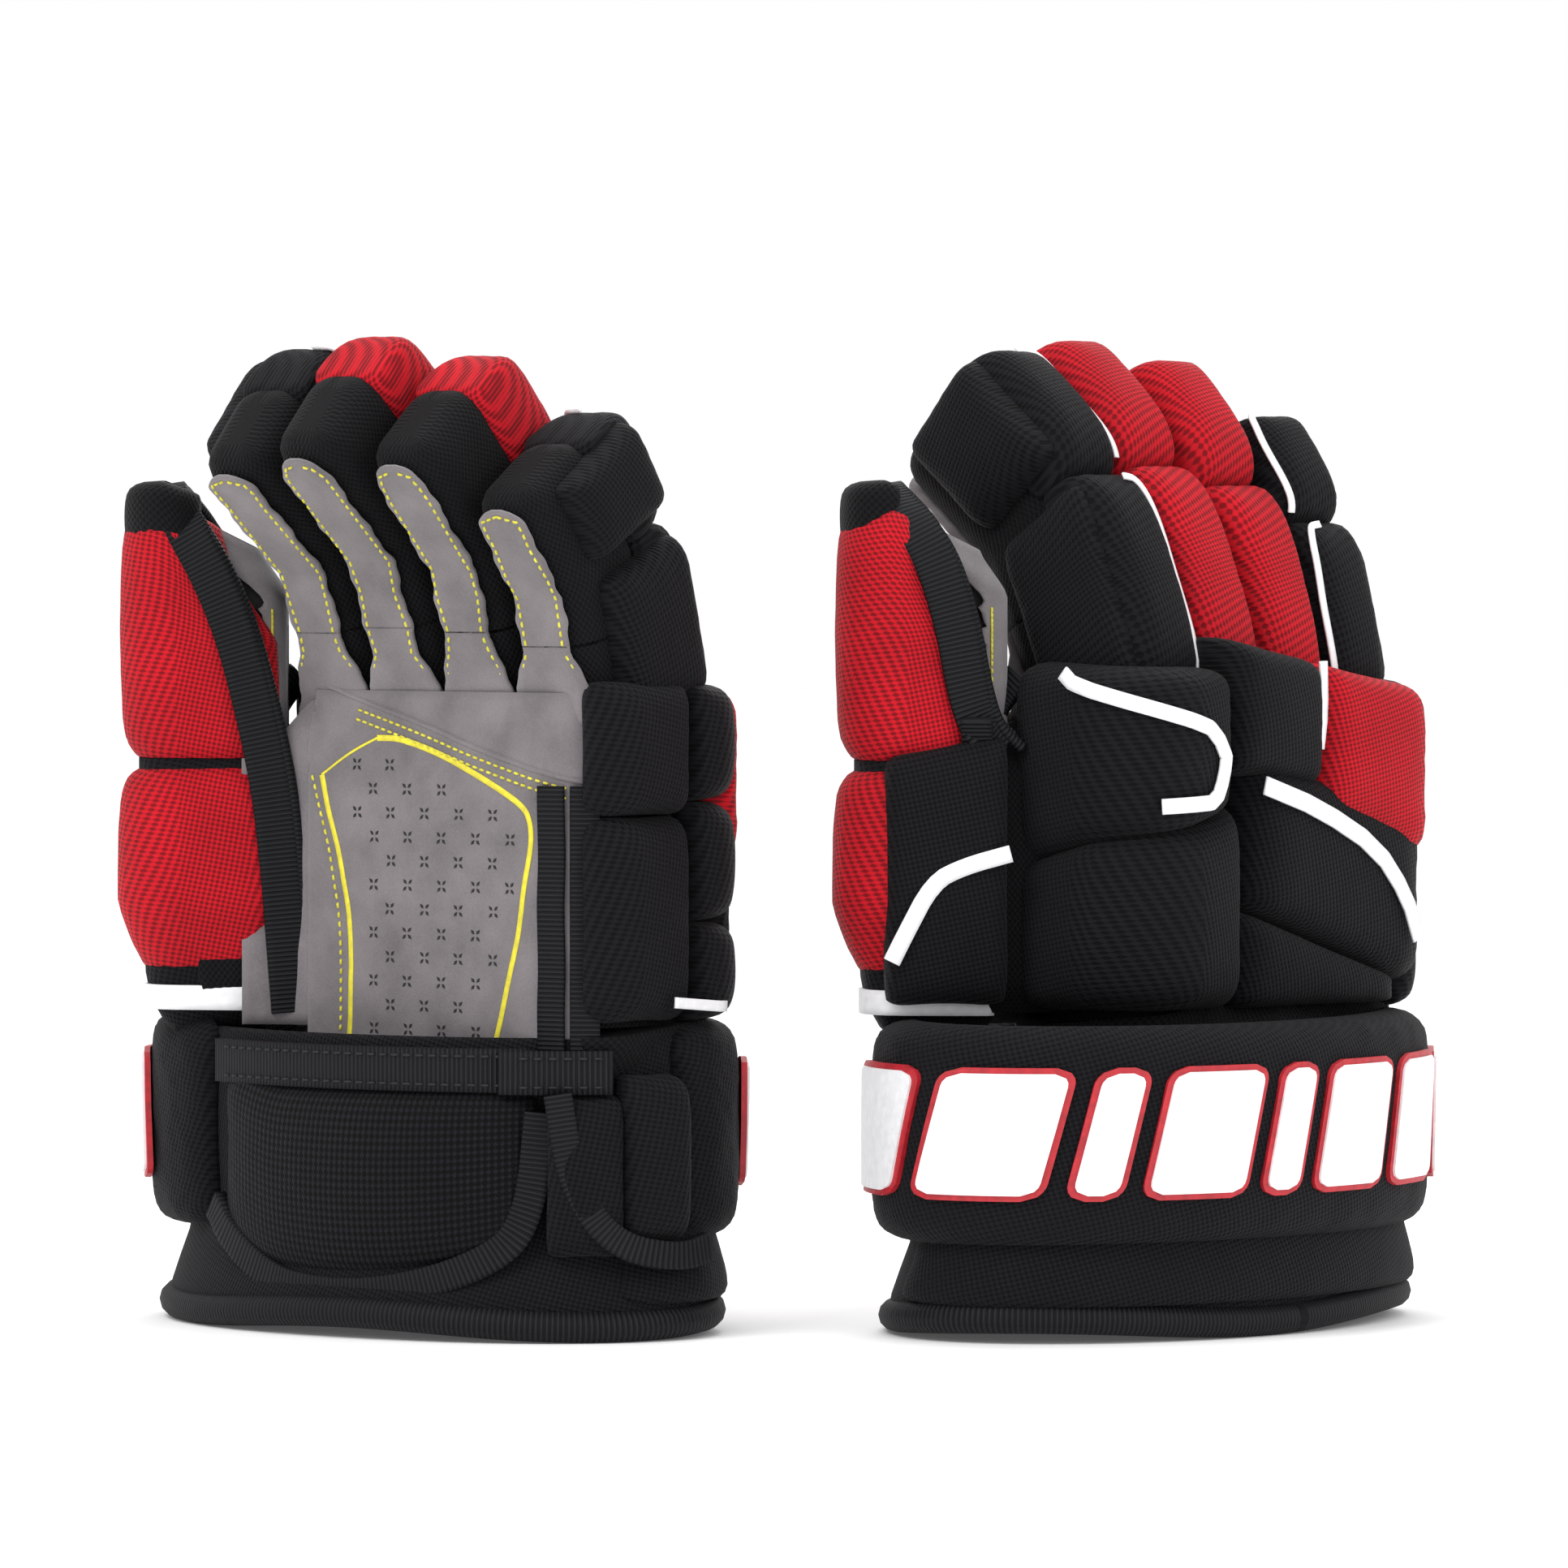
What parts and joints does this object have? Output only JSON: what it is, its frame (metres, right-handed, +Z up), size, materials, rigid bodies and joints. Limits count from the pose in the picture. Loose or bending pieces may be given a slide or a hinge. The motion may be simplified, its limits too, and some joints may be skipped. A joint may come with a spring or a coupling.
{
  "type": "hockey gloves",
  "caption": "Pair of padded ice hockey gloves in black and red, standing on their cuffs with the fingers curled.",
  "frame": {"origin": "on the floor, under the middle of the outer box of the pair", "axes": "+X from the left glove to the right glove, +Z up; the left glove shows its palm to -Y and the right glove shows its back to -Y"},
  "size_m": [0.4266, 0.1958, 0.3163],
  "materials": {
    "padding_black": "woven shell over foam",
    "padding_red": "woven shell over foam",
    "palm_suede": "brushed suede",
    "knit_liner": "knit"
  },
  "bodies": {
    "left_cuff": {"left_cuff_liner": "knit_liner", "left_cuff_roll": "padding_black"},
    "left_palm_flap": {"left_cuff_flap": "padding_black"},
    "left_hand": {"left_hand_liner": "knit_liner", "left_palm_panel": "palm_suede", "left_back_pad_lower": "padding_black", "left_back_pad_upper": "padding_black", "left_back_pad_outer": "padding_black", "left_knuckle_pad": "padding_black", "left_side_pad": "padding_black", "left_thumb_base_pad": "padding_red", "left_thumb_side_pad": "padding_black"},
    "left_thumb": {"left_thumb_stall": "palm_suede", "left_thumb_tip_pad": "padding_red"},
    "left_index_lower": {"left_index_mid_stall": "knit_liner", "left_index_mid_pad": "padding_black"},
    "left_index_upper": {"left_index_tip_stall": "palm_suede", "left_index_tip_pad": "padding_black"},
    "left_middle_lower": {"left_middle_mid_stall": "knit_liner", "left_middle_mid_pad": "padding_red"},
    "left_middle_upper": {"left_middle_tip_stall": "palm_suede", "left_middle_tip_pad": "padding_red"},
    "left_ring_lower": {"left_ring_mid_stall": "knit_liner", "left_ring_mid_pad": "padding_red"},
    "left_ring_upper": {"left_ring_tip_stall": "palm_suede", "left_ring_tip_pad": "padding_red"},
    "left_little_lower": {"left_little_mid_stall": "knit_liner", "left_little_mid_pad": "padding_black"},
    "left_little_upper": {"left_little_tip_stall": "palm_suede", "left_little_tip_pad": "padding_black"},
    "right_cuff": {"right_cuff_liner": "knit_liner", "right_cuff_roll": "padding_black"},
    "right_palm_flap": {"right_cuff_flap": "padding_black"},
    "right_hand": {"right_hand_liner": "knit_liner", "right_palm_panel": "palm_suede", "right_back_pad_lower": "padding_black", "right_back_pad_upper": "padding_black", "right_back_pad_outer": "padding_black", "right_knuckle_pad": "padding_black", "right_side_pad": "padding_black", "right_thumb_base_pad": "padding_red", "right_thumb_side_pad": "padding_black"},
    "right_thumb": {"right_thumb_stall": "palm_suede", "right_thumb_tip_pad": "padding_red"},
    "right_index_lower": {"right_index_mid_stall": "knit_liner", "right_index_mid_pad": "padding_black"},
    "right_index_upper": {"right_index_tip_stall": "palm_suede", "right_index_tip_pad": "padding_black"},
    "right_middle_lower": {"right_middle_mid_stall": "knit_liner", "right_middle_mid_pad": "padding_red"},
    "right_middle_upper": {"right_middle_tip_stall": "palm_suede", "right_middle_tip_pad": "padding_red"},
    "right_ring_lower": {"right_ring_mid_stall": "knit_liner", "right_ring_mid_pad": "padding_red"},
    "right_ring_upper": {"right_ring_tip_stall": "palm_suede", "right_ring_tip_pad": "padding_red"},
    "right_little_lower": {"right_little_mid_stall": "knit_liner", "right_little_mid_pad": "padding_black"},
    "right_little_upper": {"right_little_tip_stall": "palm_suede", "right_little_tip_pad": "padding_black"}
  },
  "joints": [
    {"name": "left_wrist_bend", "type": "hinge", "parent": "left_cuff", "child": "left_hand", "pos_m": [-0.13066, -0.02718, 0.099], "axis": [0.766, -0.6428, 0], "range_deg": [0, 15], "stiffness_Nm_per_rad": 1.2},
    {"name": "left_palm_flap_lift", "type": "hinge", "parent": "left_cuff", "child": "left_palm_flap", "pos_m": [-0.14609, -0.04556, 0.078], "axis": [-0.766, 0.6428, 0], "range_deg": [0, 40], "stiffness_Nm_per_rad": 0.15},
    {"name": "left_thumb_fold", "type": "hinge", "parent": "left_hand", "child": "left_thumb", "pos_m": [-0.15255, -0.05327, 0.178], "axis": [0.766, -0.6428, 0], "range_deg": [0, 25], "stiffness_Nm_per_rad": 0.5},
    {"name": "left_index_knuckle", "type": "hinge", "parent": "left_hand", "child": "left_index_lower", "pos_m": [-0.14258, -0.01026, 0.202], "axis": [0.766, -0.6428, 0], "range_deg": [-4, 45], "stiffness_Nm_per_rad": 0.4},
    {"name": "left_index_middle_joint", "type": "hinge", "parent": "left_index_lower", "child": "left_index_upper", "pos_m": [-0.15269, -0.02232, 0.24094], "axis": [0.766, -0.6428, 0], "range_deg": [-4, 41], "stiffness_Nm_per_rad": 0.3},
    {"name": "left_middle_knuckle", "type": "hinge", "parent": "left_hand", "child": "left_middle_lower", "pos_m": [-0.11883, -0.03019, 0.202], "axis": [0.766, -0.6428, 0], "range_deg": [-4, 45], "stiffness_Nm_per_rad": 0.4},
    {"name": "left_middle_middle_joint", "type": "hinge", "parent": "left_middle_lower", "child": "left_middle_upper", "pos_m": [-0.1299, -0.04339, 0.24465], "axis": [0.766, -0.6428, 0], "range_deg": [-4, 41], "stiffness_Nm_per_rad": 0.3},
    {"name": "left_ring_knuckle", "type": "hinge", "parent": "left_hand", "child": "left_ring_lower", "pos_m": [-0.09508, -0.05012, 0.202], "axis": [0.766, -0.6428, 0], "range_deg": [-4, 45], "stiffness_Nm_per_rad": 0.4},
    {"name": "left_ring_middle_joint", "type": "hinge", "parent": "left_ring_lower", "child": "left_ring_upper", "pos_m": [-0.10342, -0.06006, 0.24194], "axis": [0.766, -0.6428, 0], "range_deg": [-4, 41], "stiffness_Nm_per_rad": 0.3},
    {"name": "left_little_knuckle", "type": "hinge", "parent": "left_hand", "child": "left_little_lower", "pos_m": [-0.07133, -0.07004, 0.202], "axis": [0.766, -0.6428, 0], "range_deg": [-4, 45], "stiffness_Nm_per_rad": 0.4},
    {"name": "left_little_middle_joint", "type": "hinge", "parent": "left_little_lower", "child": "left_little_upper", "pos_m": [-0.07631, -0.07597, 0.23305], "axis": [0.766, -0.6428, 0], "range_deg": [-4, 41], "stiffness_Nm_per_rad": 0.3},
    {"name": "right_glove_lift", "type": "slide", "parent": "left_cuff", "child": "right_cuff", "axis": [0, 0, 1], "range_m": [0, 0.33]},
    {"name": "right_wrist_bend", "type": "hinge", "parent": "right_cuff", "child": "right_hand", "pos_m": [0.09303, 0.02061, 0.099], "axis": [-0.6691, -0.7431, 0], "range_deg": [0, 15], "stiffness_Nm_per_rad": 1.2},
    {"name": "right_palm_flap_lift", "type": "hinge", "parent": "right_cuff", "child": "right_palm_flap", "pos_m": [0.0752, 0.03667, 0.078], "axis": [0.6691, 0.7431, 0], "range_deg": [0, 40], "stiffness_Nm_per_rad": 0.15},
    {"name": "right_thumb_fold", "type": "hinge", "parent": "right_hand", "child": "right_thumb", "pos_m": [0.06773, 0.0434, 0.178], "axis": [-0.6691, -0.7431, 0], "range_deg": [0, 25], "stiffness_Nm_per_rad": 0.5},
    {"name": "right_index_knuckle", "type": "hinge", "parent": "right_hand", "child": "right_index_lower", "pos_m": [0.08359, 0.0022, 0.202], "axis": [-0.6691, -0.7431, 0], "range_deg": [-4, 45], "stiffness_Nm_per_rad": 0.4},
    {"name": "right_index_middle_joint", "type": "hinge", "parent": "right_index_lower", "child": "right_index_upper", "pos_m": [0.0719, 0.01273, 0.24094], "axis": [-0.6691, -0.7431, 0], "range_deg": [-4, 41], "stiffness_Nm_per_rad": 0.3},
    {"name": "right_middle_knuckle", "type": "hinge", "parent": "right_hand", "child": "right_middle_lower", "pos_m": [0.10433, 0.02524, 0.202], "axis": [-0.6691, -0.7431, 0], "range_deg": [-4, 45], "stiffness_Nm_per_rad": 0.4},
    {"name": "right_middle_middle_joint", "type": "hinge", "parent": "right_middle_lower", "child": "right_middle_upper", "pos_m": [0.09153, 0.03677, 0.24465], "axis": [-0.6691, -0.7431, 0], "range_deg": [-4, 41], "stiffness_Nm_per_rad": 0.3},
    {"name": "right_ring_knuckle", "type": "hinge", "parent": "right_hand", "child": "right_ring_lower", "pos_m": [0.12508, 0.04828, 0.202], "axis": [-0.6691, -0.7431, 0], "range_deg": [-4, 45], "stiffness_Nm_per_rad": 0.4},
    {"name": "right_ring_middle_joint", "type": "hinge", "parent": "right_ring_lower", "child": "right_ring_upper", "pos_m": [0.11543, 0.05696, 0.24194], "axis": [-0.6691, -0.7431, 0], "range_deg": [-4, 41], "stiffness_Nm_per_rad": 0.3},
    {"name": "right_little_knuckle", "type": "hinge", "parent": "right_hand", "child": "right_little_lower", "pos_m": [0.14582, 0.07131, 0.202], "axis": [-0.6691, -0.7431, 0], "range_deg": [-4, 45], "stiffness_Nm_per_rad": 0.4},
    {"name": "right_little_middle_joint", "type": "hinge", "parent": "right_little_lower", "child": "right_little_upper", "pos_m": [0.14007, 0.07649, 0.23305], "axis": [-0.6691, -0.7431, 0], "range_deg": [-4, 41], "stiffness_Nm_per_rad": 0.3}
  ],
  "couplings": [
    {"joint": "left_index_middle_joint", "follows": "left_index_knuckle", "ratio": 0.9},
    {"joint": "left_middle_middle_joint", "follows": "left_middle_knuckle", "ratio": 0.9},
    {"joint": "left_ring_middle_joint", "follows": "left_ring_knuckle", "ratio": 0.9},
    {"joint": "left_little_middle_joint", "follows": "left_little_knuckle", "ratio": 0.9},
    {"joint": "right_index_middle_joint", "follows": "right_index_knuckle", "ratio": 0.9},
    {"joint": "right_middle_middle_joint", "follows": "right_middle_knuckle", "ratio": 0.9},
    {"joint": "right_ring_middle_joint", "follows": "right_ring_knuckle", "ratio": 0.9},
    {"joint": "right_little_middle_joint", "follows": "right_little_knuckle", "ratio": 0.9}
  ]
}
